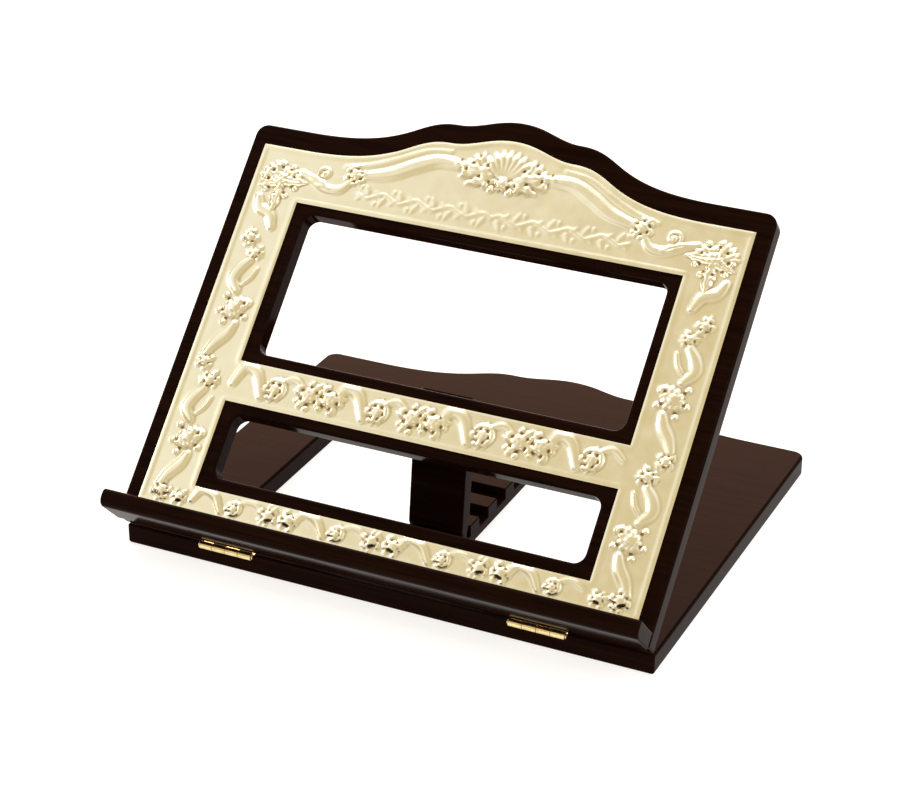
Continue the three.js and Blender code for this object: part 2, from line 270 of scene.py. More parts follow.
def lathe(profile, segments=40):
    """(radius, along) points turned about the X axis; the profile starts and ends on it."""
    points = [Vector((profile[0][1], 0, 0))]
    for radius, along in profile[1:-1]:
        for angle in np.linspace(0, 2 * math.pi, segments, endpoint=False):
            points.append(Vector((along, radius * math.cos(angle), radius * math.sin(angle))))
    points.append(Vector((profile[-1][1], 0, 0)))
    last = len(points) - 1
    faces = []
    for i in range(segments):
        j = (i + 1) % segments
        faces.append((0, 1 + j, 1 + i))
        for ring in range(len(profile) - 3):
            near, far = 1 + ring * segments, 1 + (ring + 1) * segments
            faces.append((near + i, near + j, far + j, far + i))
        faces.append((last - segments + i, last - segments + j, last))
    return mesh_from(points, faces)


def box(low, high):
    corners = list(itertools.product(*zip(low, high)))
    sides = [(0, 1, 3, 2), (4, 5, 7, 6), (0, 1, 5, 4), (2, 3, 7, 6), (0, 2, 6, 4), (1, 3, 7, 5)]
    return mesh_from(corners, sides)


def bar_x(radius, half, segments=32):
    return lathe([(0, -half), (radius, -half), (radius, half), (0, half)], segments)


def moved(mesh, matrix):
    mesh.transform(matrix)
    return mesh


def joined(meshes):
    """Several meshes as one, without merging them."""
    built = bmesh.new()
    for mesh in meshes:
        built.from_mesh(mesh)
    result = bpy.data.meshes.new("joined")
    built.to_mesh(result)
    built.free()
    return result


def combined(mesh, tools, operation):
    """A mesh with the tools cut away from it (DIFFERENCE) or added to it (UNION)."""
    body = bpy.data.objects.new("body", mesh)
    tool = bpy.data.objects.new("tool", joined(tools))
    for thing in (body, tool):
        bpy.context.scene.collection.objects.link(thing)
    step = body.modifiers.new("join", "BOOLEAN")
    step.operation = operation
    step.solver = "EXACT"
    step.use_self = True
    step.object = tool
    seen = body.evaluated_get(bpy.context.evaluated_depsgraph_get())
    result = bpy.data.meshes.new_from_object(seen)
    for thing in (body, tool):
        bpy.data.objects.remove(thing)
    return result


def place(name, mesh, matrix, material, body, nodes, sharp=35):
    """Puts a finished mesh on its body, in place of its CAD nodes."""
    mesh.transform(matrix)
    mesh.materials.clear()
    mesh.materials.append(material)
    mesh.shade_smooth()
    mesh.set_sharp_from_angle(angle=math.radians(sharp))
    piece = bpy.data.objects.new(name, mesh)
    bpy.context.scene.collection.objects.link(piece)
    even = piece.modifiers.new("even_shading", "WEIGHTED_NORMAL")
    even.keep_sharp = True
    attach(piece, body)
    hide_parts(*nodes)
    return piece


# ------------------------------------------------------------------------------- materials


WHITE = (1, 1, 1)


class Finish:
    """A node material around one Principled shader, with short calls for its texture nodes."""

    def __init__(self, name):
        self.material = bpy.data.materials.new(name)
        self.material.use_nodes = True
        self.tree = self.material.node_tree
        self.tree.nodes.clear()
        self.shader = self.add("ShaderNodeBsdfPrincipled")
        output = self.add("ShaderNodeOutputMaterial")
        self.link(self.shader.outputs["BSDF"], output.inputs["Surface"])
        self.place = self.add("ShaderNodeTexCoord").outputs["Object"]

    def add(self, kind, **settings):
        node = self.tree.nodes.new(kind)
        for key, value in settings.items():
            setattr(node, key, value)
        return node

    def link(self, source, target):
        self.tree.links.new(source, target)

    def set(self, **values):
        for name, value in values.items():
            self.shader.inputs[name.replace("_", " ")].default_value = value

    def noise(self, scale, stretch=(1, 1, 1), detail=3, distortion=0):
        """Noise with scale lumps to the metre, drawn out by stretch."""
        mapping = self.add("ShaderNodeMapping")
        mapping.inputs["Scale"].default_value = stretch
        self.link(self.place, mapping.inputs["Vector"])
        texture = self.add("ShaderNodeTexNoise")
        texture.inputs["Scale"].default_value = scale
        texture.inputs["Detail"].default_value = detail
        texture.inputs["Distortion"].default_value = distortion
        self.link(mapping.outputs["Vector"], texture.inputs["Vector"])
        return texture.outputs["Fac"]

    def ramp(self, source, stops):
        """Colours between (place, colour) stops; a number stands for a grey."""
        node = self.add("ShaderNodeValToRGB")
        elements = node.color_ramp.elements
        while len(elements) < len(stops):
            elements.new(0.5)
        for element, (position, colour) in zip(elements, stops):
            element.position = position
            grey = isinstance(colour, (int, float))
            element.color = (*((colour,) * 3 if grey else colour), 1)
        self.link(source, node.inputs["Fac"])
        return node.outputs["Color"]

    def mix(self, factor, first, second):
        node = self.add("ShaderNodeMix", data_type="RGBA")
        self.link(factor, node.inputs["Factor"])
        for colour, name in ((first, "A"), (second, "B")):
            socket = next(s for s in node.inputs if s.name == name and s.type == "RGBA")
            if isinstance(colour, tuple):
                socket.default_value = (*colour, 1)
            else:
                self.link(colour, socket)
        return next(s for s in node.outputs if s.type == "RGBA")

    def bump(self, height, distance, strength=1.0):
        node = self.add("ShaderNodeBump")
        node.inputs["Distance"].default_value = distance
        node.inputs["Strength"].default_value = strength
        self.link(height, node.inputs["Height"])
        self.link(node.outputs["Normal"], self.shader.inputs["Normal"])


def lacquered_wood():
    """Dark mahogany stain under polished lacquer: faint grain, and the film's slight waviness."""
    finish = Finish("dark_wood")
    grain = finish.noise(30, stretch=(0.5, 9, 9), detail=6, distortion=0.6)
    colour = finish.ramp(grain, [(0.3, (0.0060, 0.0020, 0.0010)), (0.7, (0.0130, 0.0042, 0.0020))])
    finish.link(colour, finish.shader.inputs["Base Color"])
    haze = finish.noise(14, detail=2)
    finish.link(finish.ramp(haze, [(0.3, 0.06), (0.7, 0.12)]), finish.shader.inputs["Roughness"])
    finish.bump(finish.noise(55, detail=1), 0.0004, 0.12)
    finish.set(IOR=1.42, Specular_IOR_Level=0.018)
    return finish.material


def gilt_sheet():
    """Pale gold plating, with painted shade, a brown, in the hollows and pits of the relief, and slightly
    uneven in its polish.
    """
    finish = Finish("gold_plate")
    # painted shade: the hollow attribute says how much each point is darkened for lying in a hollow or
    # pit
    hollow = finish.add("ShaderNodeAttribute", attribute_name="hollow").outputs["Fac"]
    patches = finish.noise(60, detail=3)
    tone = finish.ramp(patches, [(0.3, (0.90, 0.82, 0.57)), (0.7, (0.93, 0.86, 0.64))])
    # painted shade: the gold is mixed towards this brown where the relief is hollow
    colour = finish.mix(hollow, tone, (0.22, 0.125, 0.03))
    finish.link(colour, finish.shader.inputs["Base Color"])
    polish = finish.noise(90, detail=2)
    finish.link(finish.ramp(polish, [(0.3, 0.17), (0.7, 0.27)]), finish.shader.inputs["Roughness"])
    finish.bump(finish.noise(160, detail=1), 0.0004, 0.06)
    finish.set(Metallic=1.0)
    return finish.material


def worked_metal(name, light, dark, dull=0.30, bright=0.16, edge_tint=WHITE):
    """Metal with a fine grain and a little tarnish; dull and bright are its roughness where it is
    tarnished and where it is clean, and the tint colours it at a glancing angle."""
    finish = Finish(name)
    tarnish = finish.noise(220, detail=4)
    colour = finish.ramp(tarnish, [(0.35, dark), (0.6, light)])
    roughness = finish.ramp(tarnish, [(0.3, dull), (0.7, bright)])
    finish.link(colour, finish.shader.inputs["Base Color"])
    finish.link(roughness, finish.shader.inputs["Roughness"])
    finish.bump(finish.noise(900, stretch=(0.2, 2, 2), detail=1), 0.0002, 0.2)
    finish.set(Metallic=1.0, Specular_Tint=(*edge_tint, 1))
    return finish.material


def dowel_wood():
    """Plain beech with short flecks along the grain."""
    finish = Finish("dowel_wood")
    fleck = finish.noise(160, stretch=(6, 1, 6), detail=5)
    colour = finish.ramp(fleck, [(0.3, (0.42, 0.27, 0.13)), (0.7, (0.62, 0.45, 0.26))])
    finish.link(colour, finish.shader.inputs["Base Color"])
    finish.link(finish.ramp(fleck, [(0.3, 0.75), (0.7, 0.55)]), finish.shader.inputs["Roughness"])
    finish.bump(fleck, 0.0003, 0.3)
    return finish.material


# ----------------------------------------------------------------------- hinges and screws


def side_span(side, near, far):
    """Heights on the upper (+1) or lower (-1) side of a hinge's middle plane, lowest first."""
    return sorted((side * near, side * far))


def screw_places(hinge):
    return (-hinge["spread"] / 2, hinge["spread"] / 2)


def knuckle(hinge, side, start, end):
    """One rolled knuckle with the tongue that joins it to its leaf."""
    radius = hinge["barrel"]
    low, high = side_span(side, LEAF_PLAY, LEAF_PLAY + LEAF_THICK)
    from_angle = math.degrees(math.asin(high / radius))
    to_angle = 360 + math.degrees(math.asin(low / radius))
    roll = arc((0, 0), radius, from_angle, to_angle, 36)
    tongue = hinge["barrel"] + GAP + 0.6
    outline = np.concatenate([[(tongue, low), (tongue, high)], roll])
    shape = slab(outline, [circle_loop((0, 0), BORE)], start, end, 0.22, steps=3)
    return moved(shape, ALONG_X)


def hinge_leaf(hinge, side):
    half = hinge["length"] / 2
    near = hinge["barrel"] + GAP
    low, high = side_span(side, LEAF_PLAY, LEAF_PLAY + LEAF_THICK)
    corners = [(-half, near), (half, near), (half, hinge["width"]), (-half, hinge["width"])]
    plate = rounded(corners, [0.3, 0.3, 1.6, 1.6])
    holes = [circle_loop((x, hinge["screw_line"]), SCREW["head"] + 0.15) for x in screw_places(hinge)]
    leaf = slab(plate, holes, low, high, 0.2, steps=2)
    pitch = hinge["length"] / hinge["knuckles"]
    first = 0 if side < 0 else 1
    starts = [-half + index * pitch for index in range(first, hinge["knuckles"], 2)]
    knuckles = [knuckle(hinge, side, x + GAP / 2, x + pitch - GAP / 2) for x in starts]
    return combined(leaf, knuckles, "UNION")


def hinge_pin(hinge):
    half = hinge["length"] / 2 + PIN["overhang"]
    tip = arc((-half + 0.5, 0), 0.5, 180, 90, 4)
    stem = [(PIN["radius"] - 0.5 + y, x) for x, y in tip]
    head = arc((half - PIN["head_length"], 0), PIN["head_length"], 90, 0, 6)
    dome = [(PIN["head"] * y / PIN["head_length"], x) for x, y in head]
    neck = [(PIN["radius"], half - PIN["head_length"])]
    return lathe([(0, -half), *stem, *neck, *dome[:-1], (0, half)])


def countersunk_screw(side):
    """A slotted screw whose head lies on the outer face of a leaf and faces the pin's plane."""
    head, depth, length = SCREW["head"], SCREW["depth"], SCREW["length"]
    threads = np.linspace(depth + 1, length - 1.5, 12)
    thread = [(SCREW["shank"] + (0.0 if i % 2 else -0.22), at) for i, at in enumerate(threads)]
    profile = [(0, 0), (head - 0.15, 0), (head, 0.15), (SCREW["shank"], depth), *thread, (0, length)]
    slot = box((-1, -head - 1, -0.28), (0.6, head + 1, 0.28))
    screw = combined(lathe(profile, 32), [slot], "DIFFERENCE")
    # from X, the way it was turned, to pointing away from the pin's plane
    upright = Matrix.Rotation(math.radians(-90 * side), 4, "Y")
    return moved(screw, upright)


def hinge_seat(hinge, side):
    """What a leaf, its pin and its screws need cut out of the wood."""
    half = hinge["length"] / 2 + GAP
    floor = LEAF_PLAY + LEAF_THICK + GAP
    low, high = side_span(side, -3, floor)
    screws = []
    for x in screw_places(hinge):
        hole = bar_x(SCREW["shank"] + GAP, (SCREW["length"] + 2 * GAP) / 2)
        upright = Matrix.Rotation(math.radians(90), 4, "Y")
        depth = side * (SCREW["length"] + 2 * GAP) / 2
        screws.append(moved(hole, shift(x, hinge["screw_line"], depth) @ upright))
    return [
        bar_x(hinge["barrel"] + GAP, half),
        bar_x(PIN["head"] + GAP, half + PIN["overhang"]),
        box((-half, 0, low), (half, hinge["width"] + GAP, high)),
        *screws,
    ]


def add_metal(node, mesh, matrix, body, metal, sharp=35):
    """A metal piece in place of the CAD node it is named after."""
    place(f"{node}_piece", mesh, matrix, METALS[metal], body, [node], sharp)


def add_leaf(name, hinge, side, wing, matrix, body, metal):
    """A leaf and its two screws."""
    add_metal(f"{name}_{wing}_leaf", hinge_leaf(hinge, side), matrix, body, metal)
    for index, x in enumerate(screw_places(hinge)):
        node = f"{name}_{wing}_screw_{index + 1}"
        seat = matrix @ shift(x, hinge["screw_line"], side * (LEAF_PLAY + 0.1))
        add_metal(node, countersunk_screw(side), seat, body, metal, sharp=50)


# ------------------------------------------------------------------------------- woodwork


def front_seats(side, pin_height):
    tools = []
    for x in FRONT_HINGE_X.values():
        tools += [moved(tool, shift(x, -PIN_AHEAD, pin_height)) for tool in hinge_seat(FRONT_HINGE, side)]
    return tools


def base_board():
    board = slab(board_outline(), [window_loop(BASE_OPENING)], 0, BOARD_THICK, BOARD_EDGE)
    return combined(board, front_seats(-1, BOARD_THICK), "DIFFERENCE")


def panel_board():
    windows = [window_loop(UPPER_WINDOW), window_loop(LOWER_WINDOW)]
    board = slab(board_outline(), windows, 0, BOARD_THICK, BOARD_EDGE)
    on_panel = shift(0, *PROP_PIN) @ turn_x(90)
    prop_seat = [moved(tool, on_panel) for tool in hinge_seat(PROP_HINGE, 1)]
    return combined(board, front_seats(1, 0) + prop_seat, "DIFFERENCE")


def book_ledge():
    """The ledge's section, from its back to its nose, drawn out along the panel."""
    back = BOARD_THICK + TOUCH
    corners = [
        (LEDGE["low"], back),
        (LEDGE["low"], LEDGE["front"]),
        (LEDGE["high"], LEDGE["front"]),
        (LEDGE["high"], back),
    ]
    section = rounded(corners[::-1], [0.4, LEDGE["top_radius"], LEDGE["nose_radius"], 0.4], steps=8)
    return moved(slab(section, [], -BOARD_HALF, BOARD_HALF, 1.6), ALONG_X)


def notched_rail():
    low = BASE_OPENING["low"] + TOUCH
    high = BASE_OPENING["high"] - TOUCH
    floor = BOARD_THICK - RAIL["depth"]
    outline = [(low, 0), (high, 0), (high, BOARD_THICK)]
    for index in reversed(range(RAIL["count"])):
        start = RAIL["first"] + index * RAIL["pitch"]
        end = start + RAIL["width"]
        outline += [(end, BOARD_THICK), (end, floor), (start, floor), (start, BOARD_THICK)]
    outline.append((low, BOARD_THICK))
    return moved(slab(rounded(outline, 0.8), [], -RAIL["half"], RAIL["half"], 0.8, steps=4), ALONG_X)


def prop_leg():
    start, face, end = LEG["start"], LEG["face"], LEG["end"]
    back = face + LEG["thick"]
    outline = [
        (start, face),
        (end - LEG_CHAMFER[0], face),
        (end, face + LEG_CHAMFER[1]),
        (end, back - LEG_BEVEL[1]),
        (end - LEG_BEVEL[0], back),
        (start, back),
    ]
    section = rounded(outline, [0.5, 2, 1.2, 1.2, 6, 1.2])
    leg = moved(slab(section, [], -LEG["half"], LEG["half"], 1.3), ALONG_X)
    return combined(leg, [moved(tool, turn_x(90)) for tool in hinge_seat(PROP_HINGE, -1)], "DIFFERENCE")


# --------------------------------------------------------------------------------- plaque


def smooth(t):
    t = np.clip(t, 0, 1)
    return t * t * (3 - 2 * t)


def curve_through(points, steps=8):
    """A smooth line through a few points."""
    p = np.array(points, float)
    p = np.concatenate([[2 * p[0] - p[1]], p, [2 * p[-1] - p[-2]]])
    path = []
    for a, b, c, d in zip(p, p[1:], p[2:], p[3:]):
        path.append(bezier(b, b + (c - a) / 6, c - (d - b) / 6, c, steps))
    return np.concatenate([*path, [p[-2]]])


class Relief:
    """Heights over a set of points; each motif lifts the sheet to its own height."""

    def __init__(self, x, y):
        self.x = x
        self.y = y
        self.height = np.zeros_like(x)
        # painted shade: how much each point is darkened for lying in a pit
        self.dark = np.zeros_like(x)

    def around(self, centre, reach):
        dx = self.x - centre[0]
        dy = self.y - centre[1]
        near = np.nonzero((np.abs(dx) < reach) & (np.abs(dy) < reach))
        return near, dx[near], dy[near]

    def lift(self, near, height):
        self.height[near] = np.maximum(self.height[near], height)

    def bead(self, centre, radius, height):
        near, dx, dy = self.around(centre, radius)
        self.lift(near, height * np.sqrt(np.clip(1 - (dx * dx + dy * dy) / radius ** 2, 0, 1)))

    def pit(self, centre, radius, depth):
        near, dx, dy = self.around(centre, radius)
        share = smooth(1.8 - 1.8 * np.hypot(dx, dy) / radius)
        self.height[near] -= depth * share
        # marks the pit to be darkened as painted shade
        self.dark[near] = np.maximum(self.dark[near], share)

    def flower(self, centre, radius, height, petals=5, turn=0):
        """Round petals with a groove between them, and a bead in the middle."""
        near, dx, dy = self.around(centre, radius)
        away = np.hypot(dx, dy) / radius
        lobe = np.abs(np.cos(petals / 2 * (np.arctan2(dy, dx) - math.radians(turn))))
        edge = 0.62 + 0.38 * np.sqrt(lobe)
        cup = 0.55 + 0.45 * np.sin(math.pi * np.clip(away / edge, 0, 1)) * (0.45 + 0.55 * lobe)
        self.lift(near, height * cup * smooth((edge - away) * 3.4))
        self.bead(centre, radius * 0.3, height * 1.15)

    def fan(self, centre, radius, height, heading, spread=75, ribs=7):
        """A scallop shell that opens towards heading, in degrees."""
        near, dx, dy = self.around(centre, radius * 1.1)
        turn = np.arctan2(dy, dx) - math.radians(heading)
        turn = (turn + math.pi) % (2 * math.pi) - math.pi
        wide = math.radians(spread)
        wave = np.cos(turn / wide * math.pi * ribs / 2) ** 2
        away = np.hypot(dx, dy) / (radius * (0.9 + 0.1 * wave))
        body = (0.3 + 0.7 * away) * (0.62 + 0.38 * wave)
        self.lift(near, height * body * smooth((1 - away) * 4) * smooth((wide - np.abs(turn)) * 5))

    def leaf(self, root, heading, length, width, height, lobes=3):
        """A lobed leaf with a groove for its midrib."""
        near, dx, dy = self.around(root, length + width)
        c, s = math.cos(math.radians(heading)), math.sin(math.radians(heading))
        along = (dx * c + dy * s) / length
        across = np.abs(dy * c - dx * s)
        inside = np.clip(along, 0, 1)
        scallop = 1 - 0.3 * np.sin(math.pi * lobes * inside) ** 2
        half = width / 2 * np.sin(math.pi * inside ** 0.75) * scallop
        share = across / np.maximum(half, 0.01)
        body = (1 - 0.45 * share ** 2) * (1 - 0.4 * np.exp(-(across / 0.7) ** 2))
        self.lift(near, height * body * smooth((1 - share) * 2) * ((along > 0) & (along < 1)))

    def ribbon(self, points, width, height, hollow=0.3, taper=0.35):
        """A band along a curve, hollow down its middle, narrower at both ends."""
        path = curve_through(points)
        low = path.min(0) - width
        high = path.max(0) + width
        near = np.nonzero((self.x > low[0]) & (self.x < high[0]) & (self.y > low[1]) & (self.y < high[1]))
        x, y = self.x[near], self.y[near]
        best = np.full(x.shape, 1e9)
        where = np.zeros_like(x)
        count = len(path) - 1
        for index, (a, b) in enumerate(zip(path, path[1:])):
            d = b - a
            t = np.clip(((x - a[0]) * d[0] + (y - a[1]) * d[1]) / (d @ d), 0, 1)
            gap = np.hypot(x - a[0] - t * d[0], y - a[1] - t * d[1])
            closer = gap < best
            best[closer] = gap[closer]
            where[closer] = ((index + t) / count)[closer]
        half = width / 2 * (1 - taper + taper * np.sin(math.pi * where))
        share = best / half
        self.lift(near, height * (1 - hollow * (1 - share ** 2)) * smooth((1 - share) * 1.35))

    def scroll(self, centre, radius, heading, hand, width, height):
        """A volute that winds in from its outer end, which lies towards heading."""
        turns = np.linspace(0, 1, 14)
        angles = math.radians(heading) + hand * turns * 1.35 * 2 * math.pi
        radii = radius * (1 - 0.78 * turns)
        points = np.array(centre) + radii[:, None] * np.stack([np.cos(angles), np.sin(angles)], 1)
        self.ribbon(points, width, height, hollow=0.15, taper=0.2)
        self.bead(centre, radius * 0.3, height * 1.2)

    def posy(self, centre, size, height, heading=0):
        """A flower between leaves, with beads and pits round it."""
        for turn, reach in ((35, 1.5), (145, 1.5), (215, 1.35), (325, 1.35)):
            self.leaf(centre, heading + turn, size * reach, size * 0.85, height * 0.85)
        for index in range(6):
            angle = math.radians(heading + 60 * index + 10)
            spot = (centre[0] + size * math.cos(angle), centre[1] + size * math.sin(angle))
            inner = (spot[0] * 0.7 + centre[0] * 0.3, spot[1] * 0.7 + centre[1] * 0.3)
            self.bead(spot, size * 0.2, height * 0.8)
            self.pit(inner, size * 0.22, height * 0.5)
        self.flower(centre, size * 0.72, height, petals=5, turn=heading + 18)


def crest_ornament(relief):
    """The cartouche under the crest, and the garland from it down to the corner posy."""
    relief.fan((0, 295), 26, 3.0, 90, spread=66, ribs=9)
    relief.fan((15, 297), 20, 2.7, 35, spread=50, ribs=5)
    relief.leaf((8, 298), 12, 32, 12, 2.8, lobes=4)
    relief.leaf((5, 296), -14, 24, 9, 2.4, lobes=3)
    relief.flower((0, 294), 6, 3.2, petals=6)
    for x, y in ((12, 291), (24, 309), (31, 298), (20, 294), (37, 304), (7, 289), (16, 303), (27, 303)):
        relief.bead((x, y), 2.2, 2.5)
        relief.pit((x - 2, y + 3), 1.7, 1.4)
    relief.ribbon([(36, 303), (52, 303), (68, 296), (84, 287), (102, 282)], 14, 1.9)
    relief.ribbon([(44, 312), (62, 309), (80, 300), (100, 291), (120, 286)], 7, 0.5, hollow=0)
    relief.posy((110, 281), 7, 2.6, heading=20)
    relief.ribbon([(112, 276), (119, 268), (130, 267), (142, 272), (152, 276)], 9, 1.8)
    relief.scroll((134, 278), 6, -90, 1, 2.6, 1.8)
    relief.leaf((126, 266), 25, 26, 8, 2.2, lobes=3)


def corner_ornament(relief):
    """The large posy in an upper corner."""
    relief.fan((163, 263), 17, 3.0, 118, spread=50, ribs=5)
    relief.fan((167, 266), 18, 3.0, 48, spread=42, ribs=5)
    relief.leaf((164, 268), 180, 19, 11, 2.8, lobes=3)
    relief.leaf((166, 264), 268, 22, 11, 2.8, lobes=3)
    relief.leaf((168, 266), -20, 15, 9, 2.6, lobes=3)
    relief.flower((166, 267), 7.5, 3.4, petals=6, turn=12)
    for angle in range(0, 360, 40):
        x = 166 + 13 * math.cos(math.radians(angle))
        y = 267 + 13 * math.sin(math.radians(angle))
        relief.bead((x, y), 1.9, 2.6)
        relief.pit((x * 0.8 + 166 * 0.2, y * 0.8 + 267 * 0.2), 1.8, 1.6)


def side_ornament(relief):
    """The garland down one side, which repeats below the middle band."""
    relief.ribbon([(179, 252), (175, 244), (166, 240), (161, 231)], 11, 2.4)
    relief.posy((174, 220), 5.6, 2.6, heading=40)
    relief.posy((166, 209), 5.2, 2.4, heading=-20)
    for base in (100, 0):
        relief.ribbon([(168, base + 103), (174, base + 95), (176, base + 87), (170, base + 79)], 11, 2.4)
        relief.ribbon([(160, base + 98), (163, base + 90), (168, base + 84)], 4, 1.3, hollow=0)
        relief.fan((163, base + 62), 14, 3.0, 60, spread=78, ribs=7)
        relief.fan((169, base + 68), 12, 2.8, 235, spread=60, ribs=5)
        relief.flower((167, base + 66), 4.5, 3.2, petals=6)
        relief.ribbon([(163, base + 54), (166, base + 46), (172, base + 38), (176, base + 30)], 11, 2.4)
        for x, y in ((158, 72), (176, 74), (178, 62), (157, 60), (172, 54)):
            relief.bead((x, base + y), 1.8, 2.3)
            relief.pit((x * 0.75 + 41.75, base + y * 0.75 + 16.5), 1.8, 1.4)
    relief.posy((175, 123), 5.6, 2.6, heading=10)
    relief.posy((166, 110), 6.2, 2.6, heading=-30)
    relief.posy((173, 25), 6.4, 2.6, heading=30)
    relief.posy((158, 23), 5.2, 2.3, heading=-15)


def band_ornament(relief, centre, height, rise):
    """A running band: pairs of posies with an arched ribbon and a curl between them."""
    for middle in (-160, -80, 0, 80):
        for offset, tilt in ((-8, 20), (8, -20)):
            if abs(middle + offset) < 150:
                relief.posy((middle + offset, centre), rise * 0.42, height, heading=tilt)
        relief.ribbon(
            [
                (middle + 12, centre - rise * 0.1),
                (middle + 18, centre + rise * 0.5),
                (middle + 28, centre + rise * 0.35),
                (middle + 36, centre - rise * 0.35),
            ],
            rise * 0.5, height * 0.85,
        )
        relief.scroll((middle + 46, centre - 1), rise * 0.36, 140, -1, rise * 0.2, height)
        relief.posy((middle + 45, centre - 1), rise * 0.33, height * 1.05, heading=45)
        relief.ribbon(
            [
                (middle + 50, centre + rise * 0.3),
                (middle + 58, centre + rise * 0.42),
                (middle + 67, centre + rise * 0.15),
            ],
            rise * 0.3, height * 0.6,
        )


def vine_line(relief):
    """A low running vine under the crest, its leaves on alternate sides."""
    half, middle, swing, step = 104, 268, 2.6, 13
    stem = [(x, middle + swing * math.sin(math.pi * x / step)) for x in np.arange(0, half + 1, step / 2)]
    relief.ribbon(stem, 3.0, 0.5, hollow=0, taper=0)
    for index, x in enumerate(np.arange(step / 2, half, step)):
        side = 1 if index % 2 else -1
        relief.leaf((x - 2, middle), side * 62, 9, 6, 0.55, lobes=1)
        relief.leaf((x + 1, middle), -side * 40, 8, 5, 0.5, lobes=1)
        relief.bead((x + 5, middle + side * 5.5), 1.7, 0.5)


def plaque_columns(half_opening, side_steps, middle_steps):
    """Places across the sheet: the left strip, the width of the windows and the right strip."""
    strip = np.linspace(0, 1, side_steps + 1)
    across = np.linspace(-1, 1, middle_steps + 1)
    wide = PLAQUE_HALF - half_opening
    left = -PLAQUE_HALF + strip[:-1] * wide
    right = half_opening + strip[1:] * wide
    return np.concatenate([left, across * half_opening, right])


def edge_distance(x, y, top):
    """How far each point is from the nearest edge of the sheet."""
    distance = np.minimum(np.minimum(PLAQUE_HALF - np.abs(x), y - PLAQUE_LOW), (top - y) * 0.95)
    for window in (PLAQUE_UPPER, PLAQUE_LOWER):
        beside = np.maximum(np.abs(x) - window["half"], 0)
        beyond = np.maximum(np.maximum(window["low"] - y, y - window["high"]), 0)
        distance = np.minimum(distance, np.hypot(beside, beyond))
    return distance


def blurred(values, passes):
    """A grid with each value averaged with its neighbours, several times over."""
    for _ in range(passes):
        padded = np.pad(values, 1, mode="edge")
        values = (padded[:-2, 1:-1] + padded[2:, 1:-1] + padded[1:-1, :-2] + padded[1:-1, 2:]) / 4
    return values


def plaque_top(x):
    """The height of the sheet's arched edge at each x."""
    arch = mirrored(np.concatenate([
        [(PLAQUE_HALF + 1, BOARD_SIDE - PLAQUE_INSET)],
        half_arch(PLAQUE_INSET),
    ]))[::-1]
    return np.interp(x, arch[:, 0], arch[:, 1])


def plaque_relief(x, y):
    """How far each point of the sheet stands out, and how much painted shade it gets for lying deep in a
    hollow or in a pit, from 0 to 1.
    """
    sides = Relief(np.abs(x), y)
    crest_ornament(sides)
    corner_ornament(sides)
    side_ornament(sides)
    vine_line(sides)
    across = Relief(x, y)
    band_ornament(across, 114, 2.4, 22)
    band_ornament(across, 24.5, 2.2, 15)
    ornament = np.where(np.abs(across.height) > np.abs(sides.height), across.height, sides.height)
    pits = np.maximum(sides.dark, across.dark)
    edge = edge_distance(x, y, plaque_top(x))
    rim = RIM_HEIGHT * np.sqrt(np.clip(1 - ((edge - RIM_MIDDLE) / RIM_HALF) ** 2, 0, 1))
    sharp = np.maximum(ornament * smooth((edge - 0.8) / 1.6), rim)
    height = EMBOSS * blurred(sharp, 1)
    # painted shade: the deeper a point lies below its blurred surroundings, and inside a pit, the browner
    # the plating is drawn there
    below = blurred(height, 6) - height
    return height, np.clip(below / PAINTED_SHADE_DEPTH - PAINTED_SHADE_START + pits, 0, 1)


def sheet_mesh(points, faces, hollow):
    """The sheet's mesh, with the painted shade that each of its first points gets for lying in a hollow.
    """
    mesh = bpy.data.meshes.new("plaque_sheet")
    mesh.from_pydata(points, [], [tuple(int(i) for i in face) for face in faces])
    shade = np.zeros(len(points), np.float32)
    shade[:hollow.size] = hollow.ravel()
    # painted shade, kept in the hollow attribute for the plating's colour
    mesh.attributes.new("hollow", "FLOAT", "POINT").data.foreach_set("value", shade)
    built = bmesh.new()
    built.from_mesh(mesh)
    loose = [vertex for vertex in built.verts if not vertex.link_faces]
    bmesh.ops.delete(built, geom=loose, context="VERTS")
    bmesh.ops.recalc_face_normals(built, faces=built.faces)
    built.to_mesh(mesh)
    built.free()
    return mesh


